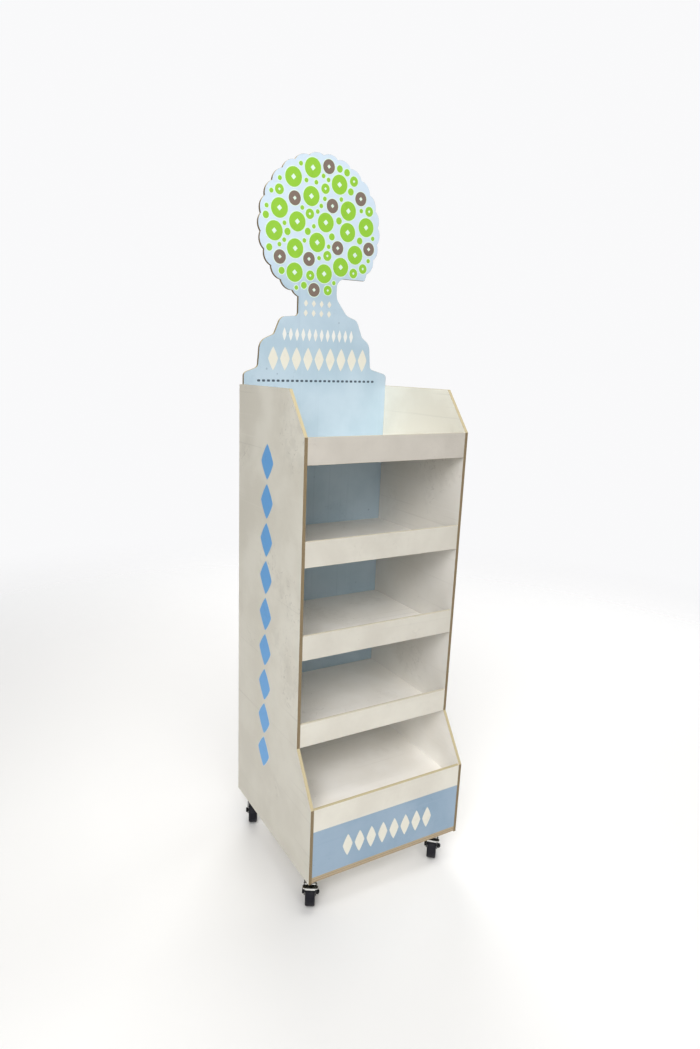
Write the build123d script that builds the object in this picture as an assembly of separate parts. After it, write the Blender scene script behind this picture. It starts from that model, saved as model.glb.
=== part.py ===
from build123d import *
import math
import os

# A floor display stand of thin boards on four swivel castors, in millimetres.
# X is to the right, Y to the back and Z up from the floor, with the origin under the middle of the case.

# The case
case_width = 505.0  # over both side panels
case_depth = 487.0  # at the bin, the deepest part
board = 9.0  # side, shelf, lip, front and back boards
side_height = 1300.0
upper_depth = 400.0  # where the shelves are
top_depth = 313.0  # along the top edge
upper_slope_drop = 111.0  # from the top edge down to the fascia's top edge
bin_slope_height = 360.0  # the next two are above the side panels' lower edge
bin_front_height = 226.0
front_corner = 1.5  # rounding where two edges of a side panel meet

# Shelves, each with an upright lip in front of it. The lowest starts where the bin's slope ends
shelf_names = ["lower", "middle", "upper"]
upper_extra = 8.0  # the compartment under the tray is this much higher than the others
lip_height = 68.0
fascia_height = 68.0
tongue_t = 6.0  # along each shelf end, flush with the shelf's underside
housing = 3.0  # depth of the grooves that hold the tongues
housing_play = 0.1  # a groove is this much wider than its tongue

# The bin and the base
base_board_t = 16.0
base_recess = 3.0  # the base board lies this far above the panels' lower edge
bin_floor_top = 175.0  # above the panels' lower edge

# The header, which is the top of the back panel. Its heights are above the side panels' top edge.
# It stands on a foot of three soft tiers, whose treads fall outwards and whose risers lean inwards
tier_low_height = 49.0  # at the inner end of each tread
tier_mid_height = 142.0
tier_high_height = 196.0
tread_low_fall = 16.0
tread_mid_fall = 19.0
tread_high_fall = 5.0
riser_mid_lean = 6.0
riser_high_lean = 21.0
tread_shares_left = [0.306, 0.309, 0.385]  # of the width from the case's edge to the neck, upwards
tread_shares_right = [0.486, 0.221, 0.293]
toe_radius = 14.0  # outer corner of the low tier
mid_radius = 36.0
high_radius = 24.0
hollow_radius = 14.0  # inner corners of the tiers
neck_left = 74.0
neck_right = 53.0
neck_hollow_radius = 10.0
flare_width = 37.0  # the neck's right edge runs out into the high tread
flare_height = 54.0
flare_foot_height = 7.0
flare_radius = 40.0
crown_x = -4.0
crown_z = 435.0
crown_radius = 199.0  # to the tips of the scallops
scallops = 26
scallop_radius = 37.0
notch_height = 306.0
notch_radius = 26.0

# Castor wheel and fork
wheel_d = 75.0
tread_width = 27.0
tyre_bore_d = 55.0
tyre_shoulder = 4.5
hub_boss_d = 20.0
hub_boss_flare = 1.0
hub_web_t = 9.0
hub_rim_t = 4.0
hub_overhang = 0.5  # the boss stands this far out of the tyre
trail = 25.0  # swivel axis to wheel axle
axle_d = 8.0
running_play = 0.05  # radial, on what turns
side_play = 0.6  # between a hub and its fork
wheel_gap = 6.7  # wheel to the fork's crown
fork_t = 2.5
fork_bend = 4.5
crown_t = 3.0
axle_boss_r = 11.0
fork_tail_r = 5.0  # the fork's rear upper corner
fork_tail = 17.0  # that corner's centre behind the swivel axis
fork_nose = 33.0  # the front upper corner, ahead of the swivel axis, without a brake

# Castor swivel head and plate
crown_gap = 0.3  # between faces that swivel past each other
race_d = 44.0
race_taper = 2.0
lower_race_h = 5.6
upper_race_h = 2.4
plate_size = 56.0
plate_t = 3.0
plate_corner = 6.0
plate_hole_span = 42.0
plate_side_gap = 1.0  # plate to the inner face of a side panel
plate_front_margin = 29.5  # plate to the front of the case
plate_back_margin = 6.5  # plate to the back of the case

# Castor fasteners
plate_screw_d = 4.5
plate_screw_length = 13.0  # in the base board
screw_head_d = 8.4
screw_head_h = 2.6
kingpin_d = 10.0
kingpin_head_d = 17.0
kingpin_head_h = 3.2
head_bevel = 1.5
hex_across = 13.0
bolt_head_t = 5.3
nut_t = 6.5
bolt_tail = 2.0  # thread past the nut

# Brake, on the front castors
brake_past_axle = 21.0  # pivot ahead of the wheel axle
brake_ear_r = 7.0
brake_pin_d = 5.0
brake_pin_head_d = 8.0
brake_pin_head_t = 1.6
brake_eye_r = 4.8
brake_reach = 28.0  # pivot to the tip of the tread plate
brake_width = 42.0
brake_plate_t = 2.2
brake_plate_start = 9.0  # the full width starts this far from the pivot
brake_stem = 10.0
brake_lift = 15.0  # degrees above level when off
brake_swing = 18.0  # degrees from off to on
brake_lip = 3.5
brake_corner = 8.0
brake_gap = 0.5  # at least this is left between the shoe and the tyre when on
shoe_overreach = 2.0
shoe_t = 3.2
shoe_width = 20.0

# Each castor's place and the way its wheel trails at rest, in degrees from straight ahead
castors = {
    "front_left": {"side": -1, "end": -1, "heading": -29.9, "brake": True},
    "front_right": {"side": 1, "end": -1, "heading": -41.6, "brake": True},
    "back_left": {"side": -1, "end": 1, "heading": -24.0, "brake": False},
    "back_right": {"side": 1, "end": 1, "heading": -33.0, "brake": False},
}

# Heights above the floor, from the wheel up
axle_z = wheel_d / 2
crown_underside = wheel_d + wheel_gap
fork_crown_z = crown_underside + crown_t
plate_underside = fork_crown_z + lower_race_h + crown_gap + upper_race_h
castor_height = plate_underside + plate_t
side_underside = castor_height - base_recess
side_top = side_underside + side_height
base_top = castor_height + base_board_t
fascia_top = side_top - upper_slope_drop
tray_underside = fascia_top - fascia_height
bin_floor_underside = side_underside + bin_floor_top - board
brake_z = fork_crown_z - brake_ear_r

# Places that several pieces share
back_y = case_depth / 2
front_y = -case_depth / 2
upper_front_y = back_y - upper_depth
inner_x = case_width / 2 - board
back_face_y = back_y - board  # front face of the back panel
lip_back_y = upper_front_y + board
brake_ahead = trail + brake_past_axle
fork_inner = tread_width / 2 + hub_overhang + side_play
fork_outer = fork_inner + fork_t


def save(name, shape):
    shape.label = name
    export_step(shape, f"parts/{name}.step")


def slab(x0, x1, y0, y1, z0, z1):
    corner = Pos((x0 + x1) / 2, (y0 + y1) / 2, (z0 + z1) / 2)
    return corner * Box(x1 - x0, y1 - y0, z1 - z0)


# Case boards


def shelf_bottoms():
    first = side_underside + bin_slope_height
    pitch = (tray_underside - upper_extra - first) / len(shelf_names)
    return {name: first + k * pitch for k, name in enumerate(shelf_names)}


def side_outline():
    return [
        (back_y, side_underside),
        (back_y, side_top),
        (back_y - top_depth, side_top),
        (upper_front_y, fascia_top),
        (upper_front_y, side_underside + bin_slope_height),
        (front_y, side_underside + bin_front_height),
        (front_y, side_underside),
    ]


def groove(y0, z):
    return slab(inner_x, inner_x + housing, y0, back_face_y, z, z + tongue_t + housing_play)


def side_panel():
    corners = [0.0, 0.0, front_corner, front_corner, front_corner, front_corner, 0.0]
    edge = FilletPolyline(*side_outline(), radius=corners, close=True)
    panel = Pos(inner_x, 0, 0) * extrude(Plane.YZ * make_face(edge), amount=board)
    for z in [*shelf_bottoms().values(), tray_underside]:
        panel -= groove(lip_back_y, z)
    return panel - groove(front_y + board, bin_floor_underside)


def housed_board(y0, z):
    # A board between the side panels, with a tongue along each end that lies in their grooves
    reach = inner_x + housing
    tongues = slab(-reach, reach, y0, back_face_y, z, z + tongue_t)
    return slab(-inner_x, inner_x, y0, back_face_y, z, z + board) + tongues


def upright(y0, z0, z1):
    return slab(-inner_x, inner_x, y0, y0 + board, z0, z1)


def crown_outline():
    ring = crown_radius - scallop_radius
    lobe = Pos(ring, 0) * Circle(scallop_radius)
    lobes = [Rot(0, 0, 360 * k / scallops) * lobe for k in range(scallops)]
    return Pos(crown_x, crown_z) * (Circle(ring) + lobes)


def tier_side(shares, inner_end, high_end):
    # Distance from the stand's middle and height of each corner of one side, from the foot upwards
    x = case_width / 2 - board
    low, mid, high = [share * (x - inner_end - riser_mid_lean - riser_high_lean) for share in shares]
    return [
        (x, base_top - side_top),
        (x, tier_low_height - tread_low_fall),
        (x - low, tier_low_height),
        (x - low - riser_mid_lean, tier_mid_height - tread_mid_fall),
        (x - low - riser_mid_lean - mid, tier_mid_height),
        (x - low - riser_mid_lean - mid - riser_high_lean, tier_high_height - tread_high_fall),
        (inner_end, tier_high_height + high_end),
    ]


def tier_radii():
    return [0.0, toe_radius, hollow_radius, mid_radius, hollow_radius, high_radius]


def foot_outline():
    # The tiers and the neck, drawn with the side panels' top edge at height 0, like the rest of the header
    left = [(-x, z) for x, z in tier_side(tread_shares_left, neck_left, 0.0)]
    right = tier_side(tread_shares_right, neck_right + flare_width, flare_foot_height)
    neck = [
        (-neck_left, crown_z),
        (neck_right, crown_z),
        (neck_right, tier_high_height + flare_height),
    ]
    radii = [*tier_radii(), neck_hollow_radius, 0.0, 0.0, flare_radius, flare_radius, *tier_radii()[::-1]]
    return make_face(FilletPolyline(*left, *neck, *right[::-1], radius=radii, close=True))


def notch_outline():
    # The air to the right of the neck, under the crown
    low = crown_z - crown_radius
    far = crown_x + crown_radius
    points = [(neck_right, low), (far, low), (far, notch_height), (neck_right, notch_height)]
    return make_face(FilletPolyline(*points, radius=[0, 0, 0, notch_radius], close=True))


def back_panel():
    face = foot_outline() + (crown_outline() - notch_outline())
    return Pos(0, back_y, side_top) * extrude(Plane.XZ * face, amount=board)


def base_board():
    blank = slab(-inner_x, inner_x, front_y, back_y, castor_height, base_top)
    pilot = upright_rod(plate_screw_d / 2, castor_height, plate_screw_length)
    for place in castors.values():
        for x, y in plate_holes():
            blank -= castor_spot(place) * Pos(x, y, 0) * pilot
    return blank


def write_case():
    right = side_panel()
    save("side_panel_right", right)
    save("side_panel_left", mirror(right, about=Plane.YZ))
    save("back_panel", back_panel())
    save("base_board", base_board())
    for name, z in shelf_bottoms().items():
        save(f"shelf_{name}", housed_board(lip_back_y, z))
        save(f"lip_{name}", upright(upper_front_y, z, z + lip_height))
    save("top_tray_floor", housed_board(lip_back_y, tray_underside))
    save("top_fascia", upright(upper_front_y, tray_underside, fascia_top))
    save("bin_floor", housed_board(front_y + board, bin_floor_underside))
    save("front_panel", upright(front_y, base_top, side_underside + bin_front_height))


# Castors, each drawn with its swivel axis at X 0, Y 0 and its wheel towards -Y


def castor_spot(place):
    half = plate_size / 2
    x = case_width / 2 - board - plate_side_gap - half
    y = back_y - plate_back_margin - half if place["end"] > 0 else front_y + plate_front_margin + half
    return Pos(place["side"] * x, y, 0)


def plate_holes():
    half = plate_hole_span / 2
    return [(x, y) for x in (-half, half) for y in (-half, half)]


def upright_rod(radius, z0, length):
    rod = Cylinder(radius, length, align=(Align.CENTER, Align.CENTER, Align.MIN))
    return Pos(0, 0, z0) * rod


def across(radius, length, x0, y, z):
    # A rod along X that starts at x0
    return Pos(x0, y, z) * Rot(0, 90, 0) * Cylinder(
        radius, length, align=(Align.CENTER, Align.CENTER, Align.MIN))


def hexagon(x0, length, y, z):
    face = RegularPolygon(hex_across / 2, 6, major_radius=False)
    return Pos(x0, y, z) * Rot(0, 90, 0) * extrude(face, amount=length)


def castor_plate():
    plate = extrude(RectangleRounded(plate_size, plate_size, plate_corner), amount=plate_t)
    plate = Pos(0, 0, plate_underside) * plate
    plate += upright_rod(race_d / 2 - race_taper, plate_underside - upper_race_h, upper_race_h)
    for x, y in plate_holes():
        plate -= Pos(x, y, 0) * upright_rod(plate_screw_d / 2, plate_underside, plate_t)
    return plate - upright_rod(kingpin_d / 2, 0, castor_height)


def turned(points):
    # A solid turned about Z from its half section
    return revolve(Plane.XZ * make_face(Polyline(*points, close=True)), Axis.Z)


def kingpin():
    head_top = crown_underside - crown_gap
    head = head_top - kingpin_head_h
    shank = kingpin_d / 2
    rim = kingpin_head_d / 2
    return turned([
        (0, head),
        (rim - head_bevel, head),
        (rim, head + head_bevel),
        (rim, head_top),
        (shank, head_top),
        (shank, castor_height),
        (0, castor_height),
    ])


def plate_screws():
    shank = plate_screw_d / 2
    rim = screw_head_d / 2
    head = plate_underside - screw_head_h
    tip = castor_height + plate_screw_length
    screw = turned([
        (0, head),
        (rim - head_bevel, head),
        (rim, head + head_bevel),
        (rim, plate_underside),
        (shank, plate_underside),
        (shank, tip - plate_screw_d),
        (0, tip),
    ])
    return Compound([Pos(x, y, 0) * screw for x, y in plate_holes()])


def fork_side(brake):
    boss = Pos(-trail, axle_z) * Circle(axle_boss_r)
    tail = Pos(fork_tail, fork_crown_z - fork_tail_r) * Circle(fork_tail_r)
    if brake:
        nose = Pos(-brake_ahead, brake_z) * Circle(brake_ear_r)
    else:
        nose = Pos(-fork_nose, fork_crown_z - fork_tail_r) * Circle(fork_tail_r)
    return make_hull((boss + tail + nose).edges())


def fork(brake):
    outer = Rectangle(2 * fork_outer, 2 * fork_crown_z)
    outer = fillet(outer.vertices(), fork_bend + fork_t)
    inner = Rectangle(2 * fork_inner, 2 * crown_underside)
    inner = fillet(inner.vertices(), fork_bend)
    channel = extrude(Plane.XZ * (outer - inner), amount=2 * brake_ahead, both=True)
    body = channel & extrude(Plane.YZ * fork_side(brake), amount=fork_outer, both=True)
    if brake:
        web_end = -fork_nose - fork_tail_r
        body -= slab(-fork_inner, fork_inner, -2 * brake_ahead, web_end, 0, 2 * fork_crown_z)
        body -= across(brake_pin_d / 2, 2 * fork_outer, -fork_outer, -brake_ahead, brake_z)
    body -= across(axle_d / 2, 2 * fork_outer, -fork_outer, -trail, axle_z)
    rim = race_d / 2
    race_top = fork_crown_z + lower_race_h
    body += turned([
        (0, crown_underside),
        (rim, crown_underside),
        (rim, race_top - race_taper),
        (rim - race_taper, race_top),
        (0, race_top),
    ])
    return body - upright_rod(kingpin_d / 2 + running_play, 0, castor_height)


def about_axle(line):
    # A solid turned about the wheel axle from its section, X along the axle and Y outwards
    return Pos(0, -trail, axle_z) * revolve(make_face(line), Axis.X)


def tyre():
    half = tread_width / 2
    outer = wheel_d / 2
    bore = tyre_bore_d / 2
    corners = [(-half, bore), (half, bore), (half, outer), (-half, outer)]
    return about_axle(FilletPolyline(*corners, radius=[0, 0, tyre_shoulder, tyre_shoulder], close=True))


def hub():
    bore = axle_d / 2 + running_play
    boss = hub_boss_d / 2
    rim = tyre_bore_d / 2
    end = tread_width / 2 + hub_overhang
    web = hub_web_t / 2
    side = tread_width / 2
    right = [
        (end, bore),
        (end, boss),
        (web, boss + hub_boss_flare),
        (web, rim - hub_rim_t),
        (side, rim - hub_rim_t),
        (side, rim),
    ]
    left = [(-x, r) for x, r in right[::-1]]
    return about_axle(Polyline(*right, *left, close=True))


def axle_bolt():
    head = hexagon(-fork_outer - bolt_head_t, bolt_head_t, -trail, axle_z)
    length = 2 * fork_outer + nut_t + bolt_tail
    return head + across(axle_d / 2, length, -fork_outer, -trail, axle_z)


def axle_nut():
    nut = hexagon(fork_outer, nut_t, -trail, axle_z)
    return nut - across(axle_d / 2, 2 * nut_t, fork_outer - nut_t / 2, -trail, axle_z)


def brake_pin():
    shank = across(brake_pin_d / 2, 2 * fork_outer, -fork_outer, -brake_ahead, brake_z)
    for x0 in (-fork_outer - brake_pin_head_t, fork_outer):
        shank += across(brake_pin_head_d / 2, brake_pin_head_t, x0, -brake_ahead, brake_z)
    return shank


def shoe():
    # The side view of the shoe with the brake off. Its length and its direction from the pivot are such
    # that the swing brings its end to the tyre
    down = axle_z - brake_z
    back = brake_ahead - trail
    span = math.hypot(down, back)
    stop = wheel_d / 2 + brake_gap + shoe_t / 2
    length = span - stop + shoe_overreach
    opening = math.acos((span**2 + length**2 - stop**2) / (2 * span * length))
    return brake_strip(math.degrees(math.atan2(down, back) - opening) - brake_swing, length, shoe_t)


def brake_strip(angle, length, thick):
    # The side view of a strip that leaves the pivot at an angle
    return Rot(0, 0, angle) * Pos(length / 2, 0) * Rectangle(length, thick)


def tread_plate():
    half = brake_width / 2
    near, far = -brake_plate_start, -brake_reach
    corners = [(-half, near), (half, near), (half, far), (-half, far)]
    outline = FilletPolyline(*corners, radius=[0, 0, brake_corner, brake_corner], close=True)
    plate = extrude(make_face(outline), amount=brake_plate_t / 2, both=True)
    lip_half = half - brake_corner
    lip = slab(-lip_half, lip_half, -brake_reach, brake_plate_t - brake_reach, -brake_lip, 0)
    return Rot(-brake_lift, 0, 0) * (plate + lip)


def brake_pedal():
    stem = brake_strip(180.0 - brake_lift, brake_stem, brake_plate_t) + Circle(brake_eye_r)
    body = tread_plate()
    body += extrude(Plane.YZ * stem, amount=fork_inner - side_play, both=True)
    body += extrude(Plane.YZ * shoe(), amount=shoe_width / 2, both=True)
    body = Pos(0, -brake_ahead, brake_z) * body
    bore = brake_pin_d / 2 + running_play
    return body - across(bore, 2 * fork_outer, -fork_outer, -brake_ahead, brake_z)


def write_castor(name, place):
    fixed = {
        "plate": castor_plate(),
        "kingpin": kingpin(),
        "plate_screws": plate_screws(),
    }
    turning = {
        "fork": fork(place["brake"]),
        "tyre": tyre(),
        "hub": hub(),
        "axle_bolt": axle_bolt(),
        "axle_nut": axle_nut(),
    }
    if place["brake"]:
        turning["brake_pedal"] = brake_pedal()
        turning["brake_pin"] = brake_pin()
    spot = castor_spot(place)
    for piece, shape in fixed.items():
        save(f"castor_{name}_{piece}", spot * shape)
    for piece, shape in turning.items():
        save(f"castor_{name}_{piece}", spot * Rot(0, 0, place["heading"]) * shape)


os.makedirs("parts", exist_ok=True)
write_case()
for name, place in castors.items():
    write_castor(name, place)
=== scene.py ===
import math
import random

import bmesh
import bpy
from mathutils import Matrix, Vector, geometry


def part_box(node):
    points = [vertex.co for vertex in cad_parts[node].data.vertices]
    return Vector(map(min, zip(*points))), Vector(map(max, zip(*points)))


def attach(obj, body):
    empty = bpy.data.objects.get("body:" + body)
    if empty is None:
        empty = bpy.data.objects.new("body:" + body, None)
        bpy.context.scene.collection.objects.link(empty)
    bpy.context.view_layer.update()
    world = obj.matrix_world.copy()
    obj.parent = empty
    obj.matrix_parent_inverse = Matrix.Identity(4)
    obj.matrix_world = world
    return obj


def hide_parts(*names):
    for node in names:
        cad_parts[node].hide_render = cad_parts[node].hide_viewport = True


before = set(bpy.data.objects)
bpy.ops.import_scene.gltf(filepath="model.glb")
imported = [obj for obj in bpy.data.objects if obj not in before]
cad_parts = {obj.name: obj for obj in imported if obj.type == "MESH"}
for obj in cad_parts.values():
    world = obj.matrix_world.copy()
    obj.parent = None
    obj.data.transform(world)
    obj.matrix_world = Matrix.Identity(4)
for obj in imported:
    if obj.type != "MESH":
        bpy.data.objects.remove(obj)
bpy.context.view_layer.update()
print("frame loaded,", len(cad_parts), "nodes")


# Small helpers for node trees

def addNode(tree, kind, inputs=None, **settings):
    node = tree.nodes.new(kind)
    for key, value in settings.items():
        setattr(node, key, value)
    for key, value in (inputs or {}).items():
        socket = node.inputs[key]
        if isinstance(value, bpy.types.NodeSocket):
            tree.links.new(value, socket)
        else:
            socket.default_value = value
    return node


def darker(colour, share):
    return (*[share * c for c in colour[:3]], 1.0)


def paint(code):
    # A colour as it shows on a screen, such as "c5c0b6", in Blender's linear values
    parts = [int(code[k:k + 2], 16) / 255 for k in (0, 2, 4)]
    return (*[c / 12.92 if c < 0.04045 else ((c + 0.055) / 1.055) ** 2.4 for c in parts], 1.0)


def newMaterial(name):
    material = bpy.data.materials.new(name)
    material.use_nodes = True
    tree = material.node_tree
    return material, tree, tree.nodes["Principled BSDF"]


def stretched(tree, scale):
    place = addNode(tree, "ShaderNodeTexCoord").outputs["Object"]
    return addNode(tree, "ShaderNodeMapping", {"Vector": place, "Scale": scale}).outputs["Vector"]


def noise(tree, place, scale, detail=3.0, roughness=0.5, distortion=0.0):
    return addNode(tree, "ShaderNodeTexNoise", {
        "Vector": place, "Scale": scale, "Detail": detail, "Roughness": roughness,
        "Distortion": distortion}).outputs["Fac"]


def between(tree, value, low, high, lowResult=0.0, highResult=1.0):
    return addNode(tree, "ShaderNodeMapRange", {
        "Value": value, "From Min": low, "From Max": high, "To Min": lowResult,
        "To Max": highResult}, interpolation_type="SMOOTHSTEP").outputs["Result"]


def maths(tree, operation, first, second=0.0):
    return addNode(tree, "ShaderNodeMath", {0: first, 1: second}, operation=operation).outputs[0]


def mixed(tree, factor, first, second):
    node = addNode(tree, "ShaderNodeMix", data_type="RGBA")
    for index, value in ((0, factor), (6, first), (7, second)):
        if isinstance(value, bpy.types.NodeSocket):
            tree.links.new(value, node.inputs[index])
        else:
            node.inputs[index].default_value = value
    return node.outputs[2]


def raised(tree, shader, height, distance, strength):
    bump = addNode(tree, "ShaderNodeBump", {"Height": height, "Distance": distance, "Strength": strength})
    tree.links.new(bump.outputs["Normal"], shader.inputs["Normal"])


# Board finishes

# Sizes are in metres. A range is the part of a noise that runs from nothing to full
laminateLook = {
    "streakLength": 0.9, "streakWidth": 0.012, "darkStreaks": 0.16, "darkStreakRange": (0.60, 0.72),
    "paleStreaks": 0.35, "paleStreakRange": (0.40, 0.28), "mottle": 0.14, "mottleRange": (0.35, 0.68),
    "curlSize": 0.040, "curlWarp": 0.6, "curlDepth": 0.34, "curlLineRange": (0.016, 0.003),
    "curlPatch": 0.21, "curlPatchRange": (0.54, 0.64), "gapScale": 70.0, "gapRange": (0.46, 0.62),
    "smudge": 0.10, "smudgeScale": 38.0, "smudgeRange": (0.45, 0.65),
    "speckSize": 0.004, "speckSpacing": 0.034, "speckedRange": (0.6, 1.0), "speckGrowth": 1.6,
    "faintSpeck": 0.15, "strongSpeck": 0.8, "speckStrengthRange": (0.1, 0.9),
    "fineGrain": 7.0, "grainRelief": 0.00008, "reliefStrength": 0.6,
    "polishRange": (0.3, 0.7), "smoothest": 0.46, "dullest": 0.60, "shine": 0.35,
}


def laminate(name, base, pale, mark, grainAxis, marks, fade, look):
    # fade is (height where it starts, height where it is full, its colour, its share), a tint by height: painted
    # shade on the pale boards, a paler crown on the blue back panel
    material, tree, shader = newMaterial(name)
    scale = [1 / look["streakWidth"]] * 3
    scale[grainAxis] = 1 / look["streakLength"]
    plain = stretched(tree, (1.0, 1.0, 1.0))
    grainPlace = stretched(tree, scale)
    streaks = noise(tree, grainPlace, 1.0, 4.0, 0.6)
    mottle = noise(tree, plain, 1 / look["mottle"], 4.0, 0.55)
    colour = mixed(tree, between(tree, mottle, *look["mottleRange"]), base, pale)
    darkStreaks = between(tree, streaks, *look["darkStreakRange"])
    colour = mixed(tree, maths(tree, "MULTIPLY", darkStreaks, look["darkStreaks"] * marks), colour, mark)
    paleStreaks = between(tree, streaks, *look["paleStreakRange"])
    colour = mixed(tree, maths(tree, "MULTIPLY", paleStreaks, look["paleStreaks"]), colour, pale)
    # curls are contour lines of a noise at its middle value, broken up and only in patches
    field = noise(tree, plain, 1 / look["curlSize"], 2.0, 0.5, look["curlWarp"])
    offLine = maths(tree, "ABSOLUTE", maths(tree, "SUBTRACT", field, 0.5))
    line = between(tree, offLine, *look["curlLineRange"])
    patch = between(tree, noise(tree, plain, 1 / look["curlPatch"], 1.0), *look["curlPatchRange"])
    broken = between(tree, noise(tree, plain, look["gapScale"], 3.0), *look["gapRange"])
    curls = maths(tree, "MULTIPLY", maths(tree, "MULTIPLY", line, patch), broken)
    colour = mixed(tree, maths(tree, "MULTIPLY", curls, look["curlDepth"] * marks), colour, mark)
    blots = between(tree, noise(tree, plain, look["smudgeScale"], 3.0), *look["smudgeRange"])
    smudge = maths(tree, "MULTIPLY", patch, blots)
    colour = mixed(tree, maths(tree, "MULTIPLY", smudge, look["smudge"] * marks), colour, mark)
    # specks sit in some of the cells, each of its own size
    cells = addNode(tree, "ShaderNodeTexVoronoi", {"Vector": plain, "Scale": 1 / look["speckSpacing"]})
    chance = addNode(tree, "ShaderNodeSeparateColor", {"Color": cells.outputs["Color"]}).outputs
    reach = look["speckSize"] / 2 / look["speckSpacing"] * look["speckGrowth"]
    size = maths(tree, "MULTIPLY", between(tree, chance[0], *look["speckedRange"]), reach)
    speck = maths(tree, "LESS_THAN", cells.outputs["Distance"], size)
    strength = between(tree, chance[1], *look["speckStrengthRange"], look["faintSpeck"], look["strongSpeck"])
    speck = maths(tree, "MULTIPLY", speck, strength)
    colour = mixed(tree, maths(tree, "MULTIPLY", speck, marks), colour, mark)
    # painted shade by height on the pale boards; on the blue back panel the crown turns paler
    if fade:
        start, full, tone, share = fade
        height = addNode(tree, "ShaderNodeSeparateXYZ", {0: plain}).outputs[2]
        colour = mixed(tree, between(tree, height, start, full, 0.0, share), colour, tone)
    tree.links.new(colour, shader.inputs["Base Color"])
    dull = between(tree, mottle, *look["polishRange"], look["smoothest"], look["dullest"])
    tree.links.new(dull, shader.inputs["Roughness"])
    shader.inputs["Specular IOR Level"].default_value = look["shine"]
    fine = noise(tree, grainPlace, look["fineGrain"], 3.0, 0.6)
    height = maths(tree, "SUBTRACT", maths(tree, "ADD", streaks, maths(tree, "MULTIPLY", fine, 0.5)), curls)
    raised(tree, shader, height, look["grainRelief"], look["reliefStrength"])
    return material


edgeLook = {
    "plies": 5.0, "plyContrast": 0.45, "plyRange": (0.35, 0.65), "plyWaver": 0.25,
    "fibre": 0.0022, "fibreRange": (0.45, 0.75), "fibreShare": 0.45,
    "patchScale": 22.0, "patchRange": (0.55, 0.75), "patchShare": 0.3,
    # painted light: the edge colour turns lighter by how far an edge faces up
    "paintedLightRange": (0.15, 0.6), "paintedLightShare": 0.85,  # by how far an edge faces up
    "relief": 0.00015, "reliefStrength": 0.7, "roughness": 0.85, "shine": 0.2,
}


def rawEdge(name, light, dark, top, look):
    # The layer attribute runs from 0 to 1 through the board. top is the colour that up-facing edges take, a
    # painted light
    material, tree, shader = newMaterial(name)
    layer = addNode(tree, "ShaderNodeAttribute", attribute_name="layer").outputs["Fac"]
    plain = stretched(tree, (1.0, 1.0, 1.0))
    fibres = noise(tree, plain, 1 / look["fibre"], 4.0, 0.65)
    patches = noise(tree, plain, look["patchScale"], 3.0)
    wavy = maths(tree, "ADD", maths(tree, "MULTIPLY", layer, look["plies"]),
                 maths(tree, "MULTIPLY", maths(tree, "SUBTRACT", patches, 0.5), look["plyWaver"]))
    ply = between(tree, maths(tree, "PINGPONG", wavy, 1.0), *look["plyRange"])
    colour = mixed(tree, maths(tree, "MULTIPLY", ply, look["plyContrast"]), light, dark)
    colour = mixed(tree, between(tree, fibres, *look["fibreRange"], 0.0, look["fibreShare"]), colour, dark)
    colour = mixed(tree, between(tree, patches, *look["patchRange"], 0.0, look["patchShare"]), colour, light)
    # painted light: edges that face up are mixed towards the lighter top colour
    facing = addNode(tree, "ShaderNodeSeparateXYZ", {
        0: addNode(tree, "ShaderNodeNewGeometry").outputs["Normal"]}).outputs[2]
    colour = mixed(tree, between(tree, facing, *look["paintedLightRange"], 0.0, look["paintedLightShare"]), colour, top)
    tree.links.new(colour, shader.inputs["Base Color"])
    shader.inputs["Roughness"].default_value = look["roughness"]
    shader.inputs["Specular IOR Level"].default_value = look["shine"]
    raised(tree, shader, maths(tree, "ADD", fibres, ply), look["relief"], look["reliefStrength"])
    return material


# Tones of one whitewashed laminate: the lighter shelf tone is painted light, the darker lip and fascia tones are
# painted shade
boardColours = {
    "sideBase": "e6e1d3", "sidePale": "f0ecdf", "mark": "8f8a80",
    "shelfBase": "f4f0e8", "shelfPale": "faf7f1", "lipBase": "dad5c9", "lipPale": "e4e0d4",
    "fasciaBase": "c4beb4", "fasciaPale": "cdc7bd",
    "blueBase": "b1c7d5", "bluePale": "bdd0dd", "blueMark": "7793a6", "crownBlue": "d3e2f0",
    "bandBase": "8da5ba", "bandPale": "9aafc2", "bandMark": "6d86a0",
    # edge tops: raw edge colours lightened where they face up, a painted light
    "edgeLight": "938266", "edgeDark": "61523c", "edgeTopLit": "d0c39e", "lipEdgeTopLit": "ddd6c4",
    "baseEdgeLight": "bcaa8e", "baseEdgeDark": "84745e",
}
coat = {key: paint(value) for key, value in boardColours.items()}
grainAcross, grainInwards, grainUpwards = range(3)  # the axis that the grain follows
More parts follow.
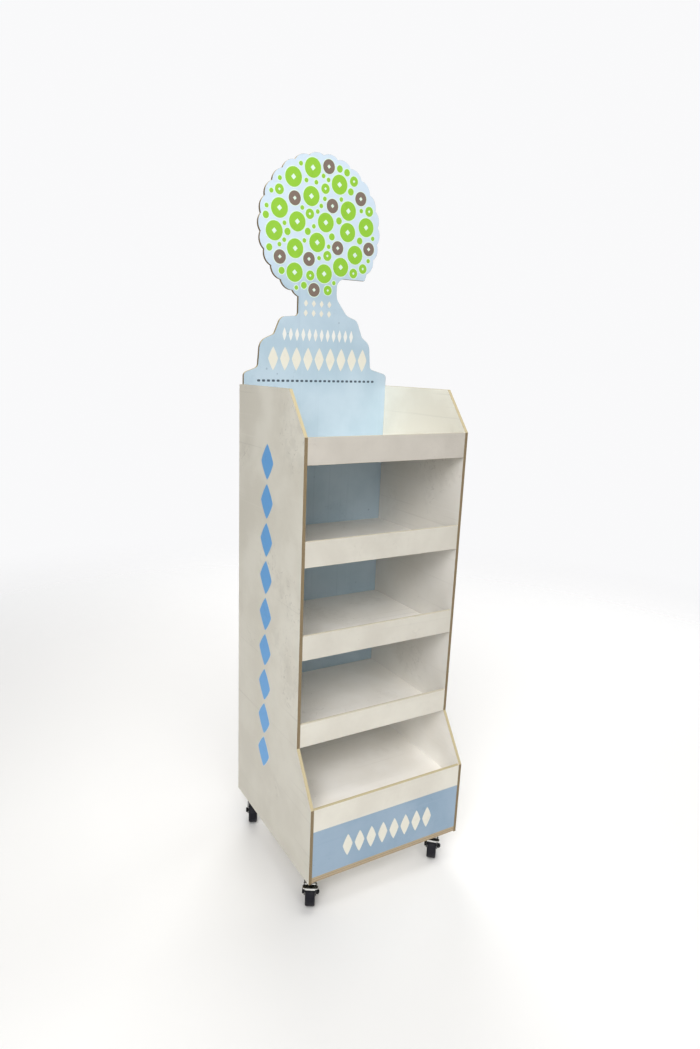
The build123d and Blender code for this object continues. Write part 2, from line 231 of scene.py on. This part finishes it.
finishLooks = {  # marks is how strongly streaks, curls and specks show
    # side panels' outsides: painted shade, darker towards the bottom
    "paleLaminateSides": {"tone": "side", "grain": grainInwards, "marks": 0.9,
                          "fade": (0.80, 0.12, coat["mark"], 0.22)},
    # side panels' inner faces below the tray: the lighter shelf tone is painted light, and painted shade darkens
    # them higher up
    "paleLaminateInner": {"tone": "shelf", "grain": grainInwards, "marks": 0.8,
                          "fade": (0.34, 0.60, coat["mark"], 0.24)},
    "paleLaminateTray": {"tone": "side", "grain": grainInwards, "marks": 0.8},
    # painted shade: shelves darker above 0.8 m
    "paleLaminateShelves": {"tone": "shelf", "grain": grainAcross, "marks": 0.6,
                            "fade": (0.80, 0.95, coat["mark"], 0.10)},
    # the darker lip tone is painted shade, and more painted shade darkens the lips above 0.45 m
    "paleLaminateLips": {"tone": "lip", "grain": grainAcross, "marks": 0.4,
                         "fade": (0.45, 0.75, coat["mark"], 0.16)},
    # the darker fascia tone is painted shade
    "paleLaminateFascia": {"tone": "fascia", "grain": grainAcross, "marks": 0.3},
    "blueBackPrint": {"tone": "blue", "mark": "blueMark", "grain": grainUpwards, "marks": 0.6,
                      "fade": (1.66, 1.76, coat["crownBlue"], 0.8)},
    "blueBandPrint": {"tone": "band", "mark": "bandMark", "grain": grainAcross, "marks": 0.6},
}


def boardFinish(name):
    look = finishLooks[name]
    tones = [coat[key] for key in (look["tone"] + "Base", look["tone"] + "Pale", look.get("mark", "mark"))]
    return laminate(name, *tones, look["grain"], look["marks"], look.get("fade"), laminateLook)


sideFinish, innerFinish, trayFinish, shelfFinish, lipFinish, fasciaFinish, bluePrint, blueBand = [
    boardFinish(name) for name in finishLooks]
sawnEdge = rawEdge("sawnBoardEdge", coat["edgeLight"], coat["edgeDark"], coat["edgeTopLit"], edgeLook)
lipEdge = rawEdge("sawnLipEdge", coat["edgeLight"], coat["edgeDark"], coat["lipEdgeTopLit"], edgeLook)
baseEdge = rawEdge("sawnBaseEdge", coat["baseEdgeLight"], coat["baseEdgeDark"], coat["edgeTopLit"], edgeLook)
print("board finishes made")


# Boards: merged copies of the CAD's, with eased edges and a finish for each kind of face

boardPiece = {
    "easing": 0.0004, "easingSteps": 2, "easingRound": 0.5, "sharpAngle": 20.0,
    "weld": 1e-5, "flush": 1e-5, "flatWithin": 0.5,  # degrees
    "broad": 0.95, "square": 0.99, "slanted": 0.5,  # parts of a face's normal along an axis
    "bandTop": 0.252,  # of the blue band on the front panel
    "trayStart": 1.2185,  # side panels are cleaner above this
    "arcSteps": 5, "longestChord": 0.013, "cornerAngle": 25.0,  # for the curved outline of the back panel
    "flatArea": 0.00012,  # faces over this size are shaded flat
}

boards = {
    "side_panel_left": sideFinish, "side_panel_right": sideFinish,
    "shelf_lower": shelfFinish, "shelf_middle": shelfFinish, "shelf_upper": shelfFinish,
    "lip_lower": lipFinish, "lip_middle": lipFinish, "lip_upper": lipFinish,
    "top_tray_floor": shelfFinish, "top_fascia": fasciaFinish, "bin_floor": shelfFinish,
    "front_panel": lipFinish, "base_board": shelfFinish, "back_panel": shelfFinish,
}


def place(name, mesh, body, slot, nodes=()):
    piece = bpy.data.objects.new(name, mesh)
    bpy.context.scene.collection.objects.link(piece)
    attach(piece, body)
    if nodes:
        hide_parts(*nodes)


def mergedCopy(node):
    work = bmesh.new()
    work.from_mesh(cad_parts[node].data)
    bmesh.ops.remove_doubles(work, verts=work.verts, dist=boardPiece["weld"])
    bmesh.ops.dissolve_limit(work, angle_limit=math.radians(boardPiece["flatWithin"]), verts=work.verts,
                             edges=work.edges)
    return work


def thinAxis(node):
    low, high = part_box(node)
    span = high - low
    axis = min(range(3), key=lambda k: span[k])
    return axis, low[axis], high[axis]


def turn(first, second):
    return math.atan2(first.x * second.y - first.y * second.x, first.dot(second))


def curvedOutline(points):
    # Puts points between those of a curved run, so that it is round from near by
    corner, longest = math.radians(boardPiece["cornerAngle"]), boardPiece["longestChord"]
    count = len(points)
    result = []
    for k in range(count):
        before, start, end, after = [points[(k + step) % count] for step in (-1, 0, 1, 2)]
        result.append(start)
        chord = end - start
        if chord.length > longest:
            continue
        turnStart, turnEnd = turn(start - before, chord), turn(chord, after - end)
        # next to a straight run the curve leans by the whole turn
        leanStart = turnStart if (start - before).length > longest else turnStart / 2
        leanEnd = turnEnd if (after - end).length > longest else turnEnd / 2
        if abs(turnStart) > corner and abs(turnEnd) > corner:
            continue
        if abs(turnStart) > corner:
            leanStart = leanEnd
        if abs(turnEnd) > corner:
            leanEnd = leanStart
        if leanStart * leanEnd <= 0:
            continue
        handleStart = start + Matrix.Rotation(-leanStart, 2) @ (chord / 3)
        handleEnd = end - Matrix.Rotation(leanEnd, 2) @ (chord / 3)
        arc = geometry.interpolate_bezier(start, handleStart, handleEnd, end, boardPiece["arcSteps"])
        result.extend(Vector(point[:2]) for point in arc[1:-1])
    return result


def backPanelMesh():
    rough = mergedCopy("back_panel")
    front = max((f for f in rough.faces if f.normal.y < -boardPiece["square"]), key=lambda f: f.calc_area())
    outline = curvedOutline([v.co.xz for v in front.verts])
    rough.free()
    near, far = thinAxis("back_panel")[1:]
    work = bmesh.new()
    rings = [[work.verts.new((p.x, y, p.y)) for p in outline] for y in (near, far)]
    for ring in rings:
        work.faces.new(ring)
    for k in range(len(outline)):
        work.faces.new((rings[0][k - 1], rings[0][k], rings[1][k], rings[1][k - 1]))
    bmesh.ops.recalc_face_normals(work, faces=work.faces)
    return work


def easeEdges(work, axis, low, high):
    # Only where a broad face meets an edge face that goes right through the board
    def goesThrough(face):
        heights = [v.co[axis] for v in face.verts]
        return max(heights) > high - boardPiece["flush"] and min(heights) < low + boardPiece["flush"]

    work.normal_update()
    chosen = []
    for edge in work.edges:
        if len(edge.link_faces) != 2:
            continue
        rim, face = sorted(edge.link_faces, key=lambda f: abs(f.normal[axis]))
        meet = abs(face.normal[axis]) > boardPiece["square"] and abs(rim.normal[axis]) < boardPiece["slanted"]
        if meet and goesThrough(rim):
            chosen.append(edge)
    bmesh.ops.bevel(work, geom=chosen, offset=boardPiece["easing"], segments=boardPiece["easingSteps"],
                    profile=boardPiece["easingRound"], affect="EDGES", clamp_overlap=True)


def makeBoard(node, finish):
    axis, low, high = thinAxis(node)
    work = backPanelMesh() if node == "back_panel" else mergedCopy(node)
    easeEdges(work, axis, low, high)
    side = node.startswith("side_panel")
    cut = boardPiece["bandTop"] if node == "front_panel" else boardPiece["trayStart"] if side else None
    if cut:
        bmesh.ops.bisect_plane(work, geom=work.verts[:] + work.edges[:] + work.faces[:],
                               plane_co=(0, 0, cut), plane_no=(0, 0, 1))
    work.normal_update()
    flat = []
    for face in work.faces:
        middle = face.calc_center_median()
        broad = abs(face.normal[axis]) > boardPiece["broad"]
        forward = face.normal.y < -boardPiece["broad"]
        face.material_index = 0 if broad else 1
        if forward and (node == "back_panel" or node == "front_panel" and middle.z < cut):
            face.material_index = 2
        if side and broad and face.normal.x * middle.x < 0:  # it faces inwards
            face.material_index = 2 if middle.z < cut else 3
        flat.append(broad or face.calc_area() > boardPiece["flatArea"])
    mesh = bpy.data.meshes.new(node + "_board")
    work.to_mesh(mesh)
    work.free()
    edge = lipEdge if node.startswith("lip") or node == "top_fascia" else sawnEdge
    if node == "base_board":
        edge = baseEdge
    extra = {"back_panel": [bluePrint], "front_panel": [blueBand]}
    for material in [finish, edge, *extra.get(node, [innerFinish, trayFinish] if side else [])]:
        mesh.materials.append(material)
    layer = mesh.attributes.new("layer", "FLOAT", "POINT")
    layer.data.foreach_set("value", [(v.co[axis] - low) / (high - low) for v in mesh.vertices])
    # the CAD's stored normals no longer fit, and the broad faces are flat
    stored = mesh.attributes.get("custom_normal")
    if stored:
        mesh.attributes.remove(stored)
    mesh.set_sharp_from_angle(angle=math.radians(boardPiece["sharpAngle"]))
    mesh.polygons.foreach_set("use_smooth", [not broad for broad in flat])
    slot = "board_blue" if node == "back_panel" else "board_laminate"
    place(node + "_board", mesh, "stand", slot, [node])


for node, finish in boards.items():
    makeBoard(node, finish)
print("boards made,", len(boards))


# Print: flat motifs a fraction of a millimetre thick, set out on points by one node tree

inkLook = {
    "patchScale": 45.0, "patchRange": (0.5, 0.8), "patchShare": 0.6, "rubbed": 0.86,  # of the full colour
    "roughness": 0.5, "shine": 0.3, "grainScale": 900.0, "relief": 0.00003, "reliefStrength": 0.5,
}


def ink(name, code, look):
    material, tree, shader = newMaterial(name)
    plain = stretched(tree, (1.0, 1.0, 1.0))
    patchy = between(tree, noise(tree, plain, look["patchScale"], 4.0, 0.6), *look["patchRange"],
                     0.0, look["patchShare"])
    colour = paint(code)
    tree.links.new(mixed(tree, patchy, colour, darker(colour, look["rubbed"])), shader.inputs["Base Color"])
    shader.inputs["Roughness"].default_value = look["roughness"]
    shader.inputs["Specular IOR Level"].default_value = look["shine"]
    raised(tree, shader, noise(tree, plain, look["grainScale"], 2.0), look["relief"], look["reliefStrength"])
    return material


def motifTree():
    # Sets one flat motif on every point. Its outline goes from square over round to lozenge as Shape rises
    tree = bpy.data.node_groups.new("printMotifs", "GeometryNodeTree")
    face = tree.interface
    face.new_socket(name="Geometry", in_out="INPUT", socket_type="NodeSocketGeometry")
    face.new_socket(name="Geometry", in_out="OUTPUT", socket_type="NodeSocketGeometry")
    for label in ("Width", "Height", "Thickness", "Shape", "Turn"):
        face.new_socket(name=label, in_out="INPUT", socket_type="NodeSocketFloat")
    face.new_socket(name="Corners", in_out="INPUT", socket_type="NodeSocketInt")
    face.new_socket(name="Ink", in_out="INPUT", socket_type="NodeSocketMaterial")
    given = addNode(tree, "NodeGroupInput").outputs
    circle = addNode(tree, "GeometryNodeMeshCircle", {"Vertices": given["Corners"], "Radius": 1.0},
                     fill_type="NGON")
    spot = addNode(tree, "ShaderNodeSeparateXYZ", {0: addNode(tree, "GeometryNodeInputPosition").outputs[0]})
    sides = []
    for index, label in ((0, "Width"), (1, "Height")):
        size = maths(tree, "POWER", maths(tree, "ABSOLUTE", spot.outputs[index]), given["Shape"])
        size = maths(tree, "MULTIPLY", size, maths(tree, "SIGN", spot.outputs[index]))
        sides.append(maths(tree, "MULTIPLY", size, maths(tree, "MULTIPLY", given[label], 0.5)))
    shaped = addNode(tree, "ShaderNodeCombineXYZ", {0: sides[0], 1: sides[1]})
    flat = addNode(tree, "GeometryNodeSetPosition", {
        "Geometry": circle.outputs[0], "Position": shaped.outputs[0]}).outputs[0]
    up = addNode(tree, "ShaderNodeCombineXYZ", {2: given["Thickness"]}).outputs[0]
    thick = addNode(tree, "GeometryNodeExtrudeMesh", {"Mesh": flat, "Offset": up, "Offset Scale": 1.0,
                    "Individual": False}, mode="FACES").outputs["Mesh"]
    both = addNode(tree, "GeometryNodeJoinGeometry")
    tree.links.new(thick, both.inputs[0])
    tree.links.new(flat, both.inputs[0])
    solid = addNode(tree, "GeometryNodeMergeByDistance", {"Geometry": both.outputs[0], "Distance": 1e-6})
    facing = addNode(tree, "ShaderNodeCombineXYZ", {0: math.radians(90), 2: given["Turn"]})
    size = addNode(tree, "GeometryNodeInputNamedAttribute", {"Name": "size"}, data_type="FLOAT")
    scale = addNode(tree, "ShaderNodeCombineXYZ", {0: size.outputs[0], 1: size.outputs[0], 2: 1.0})
    spread = addNode(tree, "GeometryNodeInstanceOnPoints", {
        "Points": given["Geometry"], "Instance": solid.outputs[0], "Rotation": facing.outputs[0],
        "Scale": scale.outputs[0]})
    real = addNode(tree, "GeometryNodeRealizeInstances", {"Geometry": spread.outputs[0]})
    inked = addNode(tree, "GeometryNodeSetMaterial", {"Geometry": real.outputs[0], "Material": given["Ink"]})
    end = addNode(tree, "NodeGroupOutput")
    tree.links.new(inked.outputs[0], end.inputs[0])
    return tree


def runTree(tree, name, points, values, sizes=None):
    # Runs a tree on the points and gives back its plain mesh
    mesh = bpy.data.meshes.new(name)
    mesh.from_pydata(points, [], [])
    size = mesh.attributes.new("size", "FLOAT", "POINT")
    size.data.foreach_set("value", sizes or [1.0] * len(points))
    holder = bpy.data.objects.new(name + "Holder", mesh)
    bpy.context.scene.collection.objects.link(holder)
    modifier = holder.modifiers.new("nodes", "NODES")
    modifier.node_group = tree
    for item in tree.interface.items_tree:
        if item.in_out == "INPUT" and item.name in values:
            modifier[item.identifier] = values[item.name]
    graph = bpy.context.evaluated_depsgraph_get()
    made = bpy.data.meshes.new_from_object(holder.evaluated_get(graph), depsgraph=graph)
    holder.modifiers.clear()
    bpy.data.objects.remove(holder)
    made.name = name
    work = bmesh.new()
    work.from_mesh(made)
    bmesh.ops.recalc_face_normals(work, faces=work.faces)
    work.to_mesh(made)
    work.free()
    return made


inkColours = {
    "green": "93c83e", "mint": "dcefe0", "taupe": "807065", "white": "ebebe6", "cream": "e6e3d5",
    "slate": "4d5a66", "blue": "76b4ee",
}
inks = {name: ink("print" + name.capitalize(), code, inkLook) for name, code in inkColours.items()}
print("inks made")

film = {
    "rows": 0.0002, "ground": 0.0001, "halos": 0.00015, "discs": 0.0003, "centres": 0.00045,  # thicknesses
    "sunk": 0.0001,  # into the board, so that no light gets under it
}
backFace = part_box("back_panel")[0].y
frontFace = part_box("front_panel")[0].y
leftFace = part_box("side_panel_left")[0].x
motifs = motifTree()


def printPoints(name, points, turned, look, sizes=None):
    mesh = runTree(motifs, name, points, {
        "Width": look["width"], "Height": look["height"], "Thickness": film[look["film"]] + film["sunk"],
        "Shape": look["shape"], "Corners": look["corners"], "Ink": inks[look["ink"]],
        "Turn": math.radians(-90) if turned else 0.0}, sizes)
    place(name, mesh, "stand", look["slot"])


def printRows(name, plane, turned, look):
    # Rows of one motif, centred on look's middle
    points = []
    for row in range(look["rows"]):
        for column in range(look["columns"]):
            along = look["middle"] + (column - (look["columns"] - 1) / 2) * look["pitch"]
            up = look["bottom"] + row * look["rowPitch"] + look["height"] / 2
            points.append((plane + film["sunk"], along, up) if turned else (along, plane + film["sunk"], up))
    printPoints(name, points, turned, look)


# The shape is 0.5 for a square with soft corners, 1 for a disc and 2 for a lozenge with straight sides
lozenges = {"rows": 1, "rowPitch": 0.0, "shape": 1.7, "film": "rows", "slot": "board_blue"}
rowLooks = {
    "foot_row_small": {
        **lozenges, "columns": 12, "pitch": 0.0205, "middle": -0.004, "bottom": 1.518,
        "width": 0.013, "height": 0.036, "corners": 24, "ink": "white"},
    "foot_row_large": {
        **lozenges, "columns": 9, "pitch": 0.038, "middle": 0.0, "bottom": 1.434,
        "width": 0.031, "height": 0.066, "corners": 32, "ink": "cream"},
    "foot_row_dashes": {
        **lozenges, "columns": 26, "pitch": 0.0156, "middle": -0.002, "bottom": 1.401,
        "width": 0.0095, "height": 0.0065, "shape": 0.5, "corners": 24, "ink": "slate"},
    "front_band_row": {
        **lozenges, "columns": 8, "pitch": 0.0385, "middle": 0.001, "bottom": 0.146,
        "width": 0.031, "height": 0.066, "corners": 32, "ink": "cream"},
}
for name, look in rowLooks.items():
    printRows(name, frontFace if name == "front_band_row" else backFace, False, look)
columnLook = {
    **lozenges, "columns": 1, "rows": 9, "pitch": 0.0, "rowPitch": 0.108, "middle": 0.051, "corners": 40,
    "slot": "board_laminate",
}
printRows("side_column_ground", leftFace, True, {
    **columnLook, "bottom": 0.281, "width": 0.081, "height": 0.102, "ink": "cream", "film": "ground"})
printRows("side_column", leftFace, True, {
    **columnLook, "bottom": 0.284, "width": 0.074, "height": 0.096, "ink": "blue"})
printRows("neck_lozenges", backFace, False, {
    **lozenges, "columns": 4, "rows": 2, "pitch": 0.026, "rowPitch": 0.027, "middle": -0.010, "bottom": 1.588,
    "width": 0.013, "height": 0.019, "corners": 20, "ink": "cream"})
print("rows of print made")

crown = {
    "x": -0.004, "z": 1.828, "rim": 0.189, "notchX": 0.053, "notchZ": 1.699, "seed": 11,
    "throws": {0.026: 600, 0.019: 2000, 0.0135: 3000, 0.0095: 4500, 0.006: 5000},  # at each radius
    "taupeRadius": 0.019, "halo": 0.0022, "gap": 0.0006, "margin": 0.002,
    "unit": 0.010,  # radius of a disc before its point scales it
    "centred": 0.012, "centreShare": 0.30,  # discs over this radius have a light centre
}


def crownDiscs():
    # Discs of falling size are thrown at the crown, and each is kept where it meets nothing
    chance = random.Random(crown["seed"])
    kept = []
    for radius, throws in crown["throws"].items():
        reach = radius + crown["halo"] + crown["margin"]
        for _ in range(throws):
            angle = chance.uniform(0.0, math.tau)
            away = crown["rim"] * math.sqrt(chance.random())
            x = crown["x"] + away * math.cos(angle)
            z = crown["z"] + away * math.sin(angle)
            if away + reach > crown["rim"] + crown["margin"]:
                continue
            if x > crown["notchX"] - reach and z < crown["notchZ"] + reach:
                continue
            apart = radius + 2 * crown["halo"] + crown["gap"]
            if all(math.hypot(x - a, z - b) > apart + other for a, b, other in kept):
                kept.append((x, z, radius))
    return kept


def printDiscs(name, discs, inkName, layer, extra=0.0, share=1.0, shape=1.0, corners=32):
    points = [(x, backFace + film["sunk"], z) for x, z, radius in discs]
    sizes = [(radius + extra) / crown["unit"] for x, z, radius in discs]
    width = share * (2 * crown["unit"])
    printPoints(name, points, False, {
        "width": width, "height": width, "shape": shape, "corners": corners, "ink": inkName, "film": layer,
        "slot": "board_blue"}, sizes)


discs = crownDiscs()
printDiscs("crown_halos", discs, "mint", "halos", extra=crown["halo"])
printDiscs("crown_discs", [d for d in discs if d[2] != crown["taupeRadius"]], "green", "discs")
printDiscs("crown_taupe_discs", [d for d in discs if d[2] == crown["taupeRadius"]], "taupe", "discs")
printDiscs("crown_centres", [d for d in discs if d[2] > crown["centred"]], "mint", "centres",
           share=crown["centreShare"], shape=2.0, corners=16)
print("header print made,", len(discs), "discs")


# Castors: the CAD's own shapes with worked-up finishes

metalLook = {
    "cloudScale": 60.0, "cloudRange": (0.35, 0.7), "polishScale": 140.0, "polishRange": (0.3, 0.7),
    "smoothest": 0.7, "dullest": 1.4,  # times the metal's own roughness
    "grainScale": 1500.0, "relief": 0.00002, "reliefStrength": 0.5,
}
mouldedLook = {
    "dustScale": 75.0, "dustRange": (0.48, 0.8), "dustShare": 0.35,
    "polishScale": 200.0, "polishRange": (0.3, 0.7), "smoother": 0.08, "duller": 0.1, "shine": 0.28,
    "grainScale": 1100.0, "reliefStrength": 0.6,
}


def metal(name, colour, roughness, wear, look, paintedShadeBelow=None):
    # The last argument is (height up to which it is full, height where it ends, its colour): a painted shade that
    # darkens the metal below that height
    material, tree, shader = newMaterial(name)
    plain = stretched(tree, (1.0, 1.0, 1.0))
    clouds = between(tree, noise(tree, plain, look["cloudScale"], 4.0, 0.6), *look["cloudRange"])
    tone = mixed(tree, clouds, paint(colour), darker(paint(colour), wear))
    # painted shade: the metal turns dark below the given height
    if paintedShadeBelow:
        full, end, dark = paintedShadeBelow
        height = addNode(tree, "ShaderNodeSeparateXYZ", {0: plain}).outputs[2]
        tone = mixed(tree, between(tree, height, full, end), paint(dark), tone)
    tree.links.new(tone, shader.inputs["Base Color"])
    polish = between(tree, noise(tree, plain, look["polishScale"], 3.0), *look["polishRange"],
                     roughness * look["smoothest"], roughness * look["dullest"])
    tree.links.new(polish, shader.inputs["Roughness"])
    shader.inputs["Metallic"].default_value = 1.0
    raised(tree, shader, noise(tree, plain, look["grainScale"], 3.0), look["relief"], look["reliefStrength"])
    return material


def moulded(name, colour, dust, roughness, relief, look):
    material, tree, shader = newMaterial(name)
    plain = stretched(tree, (1.0, 1.0, 1.0))
    settled = between(tree, noise(tree, plain, look["dustScale"], 5.0, 0.65), *look["dustRange"],
                      0.0, look["dustShare"])
    tree.links.new(mixed(tree, settled, paint(colour), paint(dust)), shader.inputs["Base Color"])
    polish = between(tree, noise(tree, plain, look["polishScale"], 3.0), *look["polishRange"],
                     roughness - look["smoother"], roughness + look["duller"])
    tree.links.new(polish, shader.inputs["Roughness"])
    shader.inputs["Specular IOR Level"].default_value = look["shine"]
    raised(tree, shader, noise(tree, plain, look["grainScale"], 2.0), relief, look["reliefStrength"])
    return material


metals = {
    "dullZinc": {"colour": "4b483c", "roughness": 0.62, "wear": 0.6},
    "brightSteel": {"colour": "8f8e86", "roughness": 0.38, "wear": 0.7},
    # the pedal's barrel below its bright band gets painted shade
    "brakeChrome": {"colour": "dededb", "roughness": 0.16, "wear": 0.9, "paintedShadeBelow": (0.0795, 0.0830, "34322c")},
}
mouldings = {
    "blackLacquer": {"colour": "0a0b11", "dust": "1d1d23", "roughness": 0.36, "relief": 0.00001},
    "tyreRubber": {"colour": "0b0b16", "dust": "1e1e29", "roughness": 0.58, "relief": 0.00005},
    "hubPlastic": {"colour": "12131d", "dust": "28282f", "roughness": 0.45, "relief": 0.00002},
}
zinc, brightSteel, chrome = [metal(name, look=metalLook, **own) for name, own in metals.items()]
blackLacquer, tyreRubber, hubPlastic = [moulded(name, look=mouldedLook, **own) for name, own in mouldings.items()]
castorFinish = {
    "plate": zinc, "kingpin": zinc, "plate_screws": brightSteel, "fork": blackLacquer, "tyre": tyreRubber,
    "hub": hubPlastic, "axle_bolt": blackLacquer, "axle_nut": blackLacquer, "brake_pedal": chrome,
    "brake_pin": brightSteel,
}
for corner in ("front_left", "front_right", "back_left", "back_right"):
    for part, finish in castorFinish.items():
        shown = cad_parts.get(f"castor_{corner}_{part}")
        if shown:
            shown.data.materials.clear()
            shown.data.materials.append(finish)
print("castors finished")


# Floor, light and camera

floorLook = {
    "radius": 6.0, "corners": 96, "colour": "f7f6f4", "roughness": 0.7,
    "fadeFrom": 1.0, "fadeTo": 4.0,  # metres from the middle
    "world": "f4f4f5", "ambient": 0.09, "backdrop": 1.05,
}


def makeFloor():
    mesh = bpy.data.meshes.new("floor")
    work = bmesh.new()
    bmesh.ops.create_circle(work, cap_ends=True, segments=floorLook["corners"], radius=floorLook["radius"])
    work.to_mesh(mesh)
    work.free()
    material, tree, shader = newMaterial("paleFloor")
    shader.inputs["Base Color"].default_value = paint(floorLook["colour"])
    shader.inputs["Roughness"].default_value = floorLook["roughness"]
    away = addNode(tree, "ShaderNodeVectorMath", {0: stretched(tree, (1.0, 1.0, 1.0))}, operation="LENGTH")
    fade = between(tree, away.outputs["Value"], floorLook["fadeFrom"], floorLook["fadeTo"], 1.0, 0.0)
    tree.links.new(fade, shader.inputs["Alpha"])
    mesh.materials.append(material)
    floor = bpy.data.objects.new("floor", mesh)
    bpy.context.scene.collection.objects.link(floor)


def softLight(name, spot, target, size, power):
    lamp = bpy.data.lights.new(name, "AREA")
    lamp.size, lamp.energy = size, power
    light = bpy.data.objects.new(name, lamp)
    light.location = spot
    light.rotation_euler = (Vector(target) - Vector(spot)).to_track_quat("-Z", "Y").to_euler()
    bpy.context.scene.collection.objects.link(light)


lights = {
    "ceiling": {"spot": (0.0, -0.55, 4.2), "target": (0.0, -0.45, 0.0), "size": 1.1, "power": 30.0},
    "frontLeft": {"spot": (-3.0, -3.2, 2.8), "target": (0.0, 0.0, 0.9), "size": 2.0, "power": 67.0},
    "leftHigh": {"spot": (-2.4, -2.4, 3.8), "target": (0.0, 0.0, 0.9), "size": 2.0, "power": 84.0},
    "frontHigh": {"spot": (-0.6, -3.6, 3.8), "target": (0.0, 0.0, 0.9), "size": 2.0, "power": 43.0},
    "frontLow": {"spot": (-0.9, -4.0, 1.0), "target": (0.0, 0.0, 0.7), "size": 2.4, "power": 17.0},
    "behind": {"spot": (1.6, 3.6, 2.8), "target": (0.0, 0.0, 0.9), "size": 2.5, "power": 110.0},
    "rightSide": {"spot": (3.4, 0.6, 1.9), "target": (0.0, 0.0, 0.9), "size": 2.2, "power": 42.0},
}
makeFloor()
for name, look in lights.items():
    softLight(name, look["spot"], look["target"], look["size"], look["power"])
world = bpy.data.worlds.new("studio")
world.use_nodes = True
sky = world.node_tree.nodes["Background"].inputs
sky["Color"].default_value = paint(floorLook["world"])
seen = addNode(world.node_tree, "ShaderNodeLightPath").outputs["Is Camera Ray"]
world.node_tree.links.new(
    between(world.node_tree, seen, 0.0, 1.0, floorLook["ambient"], floorLook["backdrop"]), sky["Strength"])
bpy.context.scene.world = world
bpy.context.scene.view_settings.view_transform = "Standard"

camera = {
    "spot": (-1.0278, -1.5973, 1.4516), "azimuth": -28.1245, "down": 13.5585, "roll": 1.4186,
    "lens": 23.452, "sensor": 36.0, "shiftX": 0.0472, "shiftY": 0.0046, "nearest": 0.05, "farthest": 100.0,
}


def makeCamera():
    azimuth, down, roll = [math.radians(camera[key]) for key in ("azimuth", "down", "roll")]
    forward = Vector((-math.sin(azimuth) * math.cos(down), math.cos(azimuth) * math.cos(down), -math.sin(down)))
    level = Vector((math.cos(azimuth), math.sin(azimuth), 0.0))
    upward = level.cross(forward)
    right = math.cos(roll) * level + math.sin(roll) * upward
    top = math.cos(roll) * upward - math.sin(roll) * level
    eye = bpy.data.cameras.new("camera")
    eye.lens, eye.sensor_width = camera["lens"], camera["sensor"]
    eye.shift_x, eye.shift_y = camera["shiftX"], camera["shiftY"]
    eye.clip_start, eye.clip_end = camera["nearest"], camera["farthest"]
    holder = bpy.data.objects.new("camera", eye)
    turned = Matrix((right, top, -forward)).transposed().to_4x4()
    holder.matrix_world = Matrix.Translation(camera["spot"]) @ turned
    bpy.context.scene.collection.objects.link(holder)
    bpy.context.scene.camera = holder


makeCamera()
print("stage, lights and camera made")
